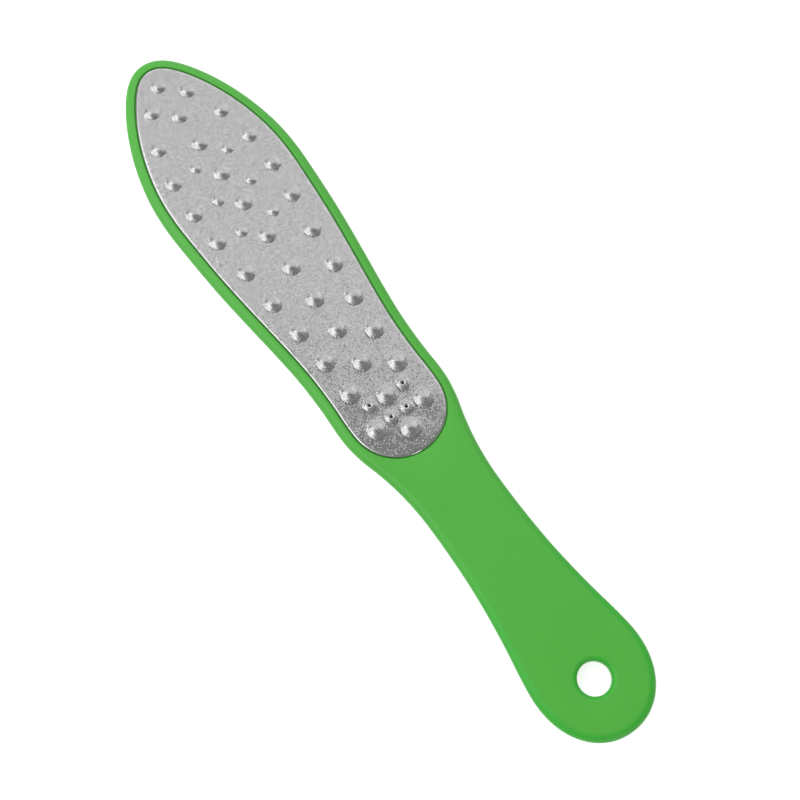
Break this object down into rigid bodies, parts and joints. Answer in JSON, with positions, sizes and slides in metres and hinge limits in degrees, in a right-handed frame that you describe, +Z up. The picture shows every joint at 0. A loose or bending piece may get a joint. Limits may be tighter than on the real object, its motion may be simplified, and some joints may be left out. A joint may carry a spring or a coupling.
{
  "type": "foot file",
  "caption": "Double-sided paddle foot file: green moulded handle with a hanging hole, a domed and etched steel rasp plate on one face and a flat fine plate on the other.",
  "frame": {"origin": "on the plane of the fine plate's face, under the middle of the outline's length and width", "axes": "+Y along the file towards the tip of the head, +Z up through the domes of the rasp plate, X across the head"},
  "size_m": [0.05, 0.26, 0.0068],
  "materials": {
    "handle_plastic": "green ABS with a soft-touch matt finish",
    "etched_steel": "stainless sheet, photo-etched with fine teeth",
    "adhesive": "dark grey acrylic foam pad"
  },
  "bodies": {
    "root": {"handle": "handle_plastic", "rasp_plate": "etched_steel", "rasp_adhesive": "adhesive", "fine_plate": "etched_steel", "fine_adhesive": "adhesive"}
  },
  "joints": []
}
